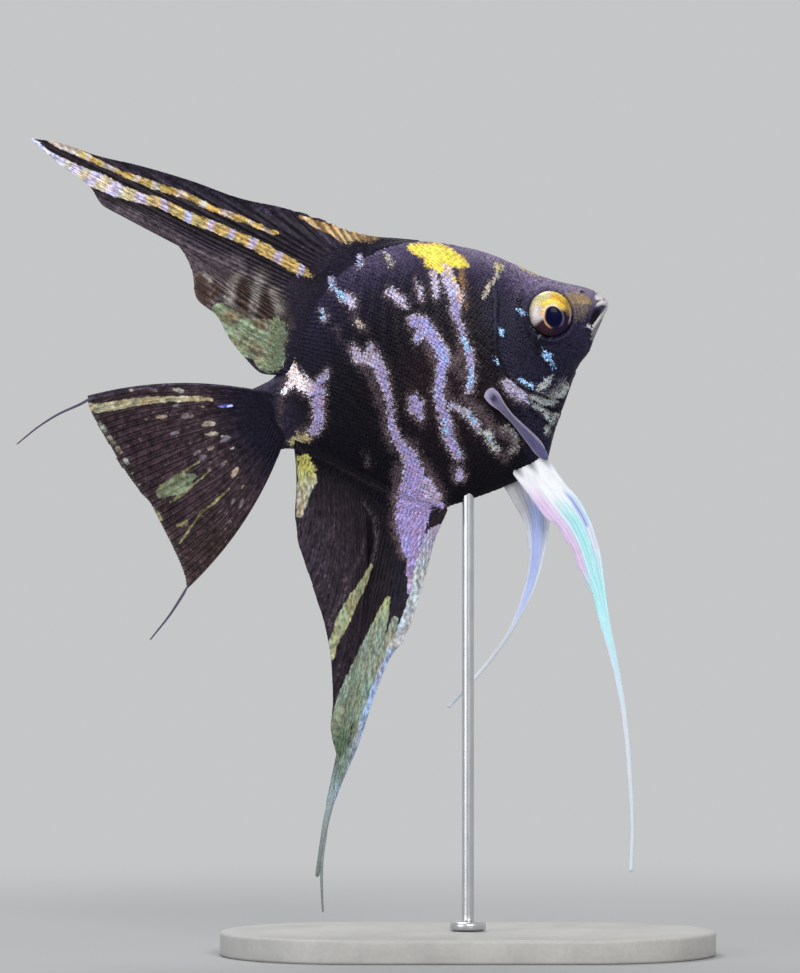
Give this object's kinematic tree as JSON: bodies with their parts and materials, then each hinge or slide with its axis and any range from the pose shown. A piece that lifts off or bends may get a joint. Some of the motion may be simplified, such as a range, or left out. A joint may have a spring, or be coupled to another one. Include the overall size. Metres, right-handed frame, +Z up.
{
  "type": "angelfish display model",
  "caption": "Life-size freshwater angelfish, marbled black and pearl, with swept fins and long pelvic feelers, nose up on a plain stand.",
  "frame": {"origin": "centre of the stand base's underside", "axes": "+Z up, +X towards the fish's mouth, +Y towards the fish's left side; the fish itself is tipped nose up by 18.5 degrees"},
  "size_m": [0.1753, 0.068, 0.2043],
  "materials": {
    "skin": "satin",
    "fin": "satin",
    "pectoral": "satin",
    "pelvic": "satin",
    "eye": "gloss",
    "base": "satin",
    "steel": "satin"
  },
  "bodies": {
    "root": {"head": "skin", "gill_cover_right": "skin", "gill_cover_left": "skin", "upper_jaw": "skin", "lower_jaw": "skin", "trunk": "skin", "tail_stalk": "skin", "eye_right": "eye", "eye_left": "eye", "dorsal_fin": "fin", "anal_fin": "fin", "caudal_fin": "fin", "pectoral_fin_right": "pectoral", "pectoral_fin_left": "pectoral", "pelvic_fin_right": "pelvic", "pelvic_fin_left": "pelvic", "pelvic_feeler_right": "pelvic", "pelvic_feeler_left": "pelvic", "stand_base": "base", "stand_rod": "steel"}
  },
  "joints": []
}
